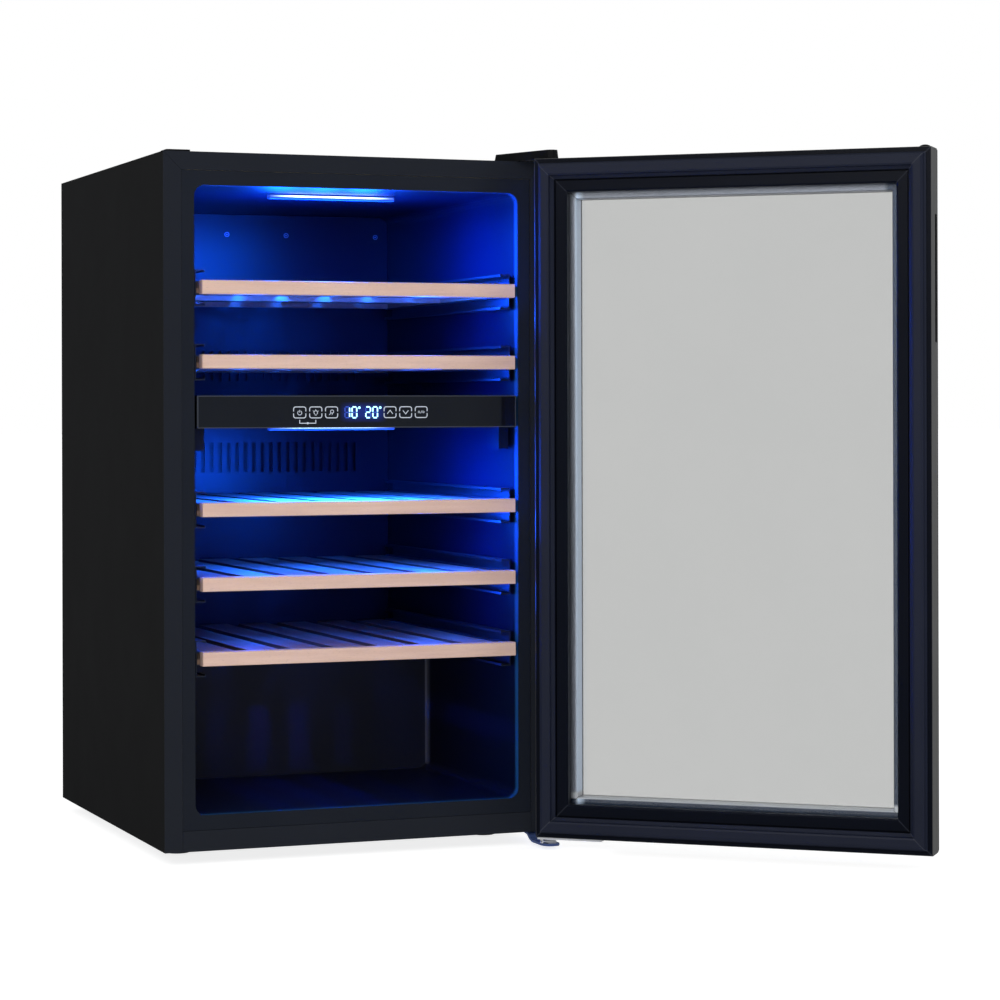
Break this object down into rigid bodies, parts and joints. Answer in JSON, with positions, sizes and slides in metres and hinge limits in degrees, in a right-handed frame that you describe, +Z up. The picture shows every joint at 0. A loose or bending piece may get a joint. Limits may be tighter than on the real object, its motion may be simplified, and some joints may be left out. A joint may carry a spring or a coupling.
{
  "type": "wine cooler",
  "caption": "Free-standing two-zone wine cooler with a right-hung glass door standing open, beech-fronted shelves on slide rails and a touch panel between the zones.",
  "frame": {"origin": "on the floor, under the middle of the bounding box with the door standing open", "axes": "+Z up; -Y is the way the cabinet faces, +Y points out of its back; +X is its right side seen from the front, where the door is hung"},
  "size_m": [0.8596, 0.9246, 0.8688],
  "materials": {
    "black_steel": "satin powder coat",
    "back_steel": "satin",
    "zinc_steel": "satin",
    "liner_plastic": "semi-gloss",
    "black_plastic": "matte",
    "panel_glass": "gloss",
    "lamp_lens": "satin",
    "foam": "matte",
    "compressor_paint": "satin",
    "coil_metal": "satin",
    "foot_rubber": "matte",
    "hinge_steel": "satin",
    "outer_pane": "gloss",
    "inner_pane": "gloss",
    "outer_frame_plastic": "satin",
    "inner_frame_plastic": "satin",
    "spacer_aluminium": "satin",
    "gasket_rubber": "matte",
    "beech_front": "satin",
    "beech_rack": "satin",
    "rail_steel": "satin"
  },
  "bodies": {
    "cabinet": {"back_panel": "back_steel", "base_plate": "zinc_steel", "bottom_front_rail": "black_steel", "bottom_hinge_bracket": "hinge_steel", "compressor": "compressor_paint", "condenser_coil": "coil_metal", "condenser_fan_bracket": "black_plastic", "control_glass": "panel_glass", "control_housing": "black_plastic", "foot_front_left": "foot_rubber", "foot_front_right": "foot_rubber", "foot_rear_left": "foot_rubber", "foot_rear_right": "foot_rubber", "hinge_hole_cover": "black_plastic", "inner_liner": "liner_plastic", "insulation_foam": "foam", "lower_duct_cover": "liner_plastic", "lower_lamp": "lamp_lens", "machine_bay_panel": "zinc_steel", "mains_inlet": "black_plastic", "rear_grille": "back_steel", "shelf_1_rail_left": "rail_steel", "shelf_1_rail_right": "rail_steel", "shelf_2_rail_left": "rail_steel", "shelf_2_rail_right": "rail_steel", "shelf_3_rail_left": "rail_steel", "shelf_3_rail_right": "rail_steel", "shelf_4_rail_left": "rail_steel", "shelf_4_rail_right": "rail_steel", "shelf_5_rail_left": "rail_steel", "shelf_5_rail_right": "rail_steel", "side_panel_left": "black_steel", "side_panel_right": "black_steel", "top_hinge_bracket": "hinge_steel", "top_hinge_cover": "black_plastic", "top_panel": "black_steel", "upper_duct_cover": "liner_plastic", "upper_lamp": "lamp_lens", "zone_divider": "liner_plastic"},
    "door": {"door_outer_glass": "outer_pane", "door_outer_frame": "outer_frame_plastic", "door_grip": "black_plastic", "door_inner_frame": "inner_frame_plastic", "door_inner_glass": "inner_pane", "glass_spacer": "spacer_aluminium", "door_gasket": "gasket_rubber", "door_bottom_plate": "hinge_steel"},
    "shelf_1": {"shelf_1_front": "beech_front", "shelf_1_rack": "beech_rack"},
    "shelf_2": {"shelf_2_front": "beech_front", "shelf_2_rack": "beech_rack"},
    "shelf_3": {"shelf_3_front": "beech_front", "shelf_3_rack": "beech_rack"},
    "shelf_4": {"shelf_4_front": "beech_front", "shelf_4_rack": "beech_rack"},
    "shelf_5": {"shelf_5_front": "beech_front", "shelf_5_rack": "beech_rack"},
    "upper_fan": {"upper_fan_rotor": "black_plastic"},
    "lower_fan": {"lower_fan_rotor": "black_plastic"},
    "condenser_fan": {"condenser_fan_rotor": "black_plastic"}
  },
  "joints": [
    {"name": "door_hinge", "type": "hinge", "parent": "cabinet", "child": "door", "pos_m": [0.05419, -0.12525, 0.437], "axis": [0, 0, 1], "range_deg": [-139.4, 30]},
    {"name": "shelf_1_slide", "type": "slide", "parent": "cabinet", "child": "shelf_1", "axis": [0, -1, 0], "range_m": [0, 0.2]},
    {"name": "shelf_2_slide", "type": "slide", "parent": "cabinet", "child": "shelf_2", "axis": [0, -1, 0], "range_m": [0, 0.2]},
    {"name": "shelf_3_slide", "type": "slide", "parent": "cabinet", "child": "shelf_3", "axis": [0, -1, 0], "range_m": [0, 0.2]},
    {"name": "shelf_4_slide", "type": "slide", "parent": "cabinet", "child": "shelf_4", "axis": [0, -1, 0], "range_m": [0, 0.2]},
    {"name": "shelf_5_slide", "type": "slide", "parent": "cabinet", "child": "shelf_5", "axis": [0, -1, 0], "range_m": [0, 0.2]},
    {"name": "upper_fan_spin", "type": "hinge", "parent": "cabinet", "child": "upper_fan", "pos_m": [-0.18231, 0.42225, 0.72297], "axis": [0, 1, 0], "continuous": true},
    {"name": "lower_fan_spin", "type": "hinge", "parent": "cabinet", "child": "lower_fan", "pos_m": [-0.18231, 0.42225, 0.33855], "axis": [0, 1, 0], "continuous": true},
    {"name": "condenser_fan_spin", "type": "hinge", "parent": "cabinet", "child": "condenser_fan", "pos_m": [-0.23731, 0.36925, 0.10339], "axis": [1, 0, 0], "continuous": true}
  ]
}
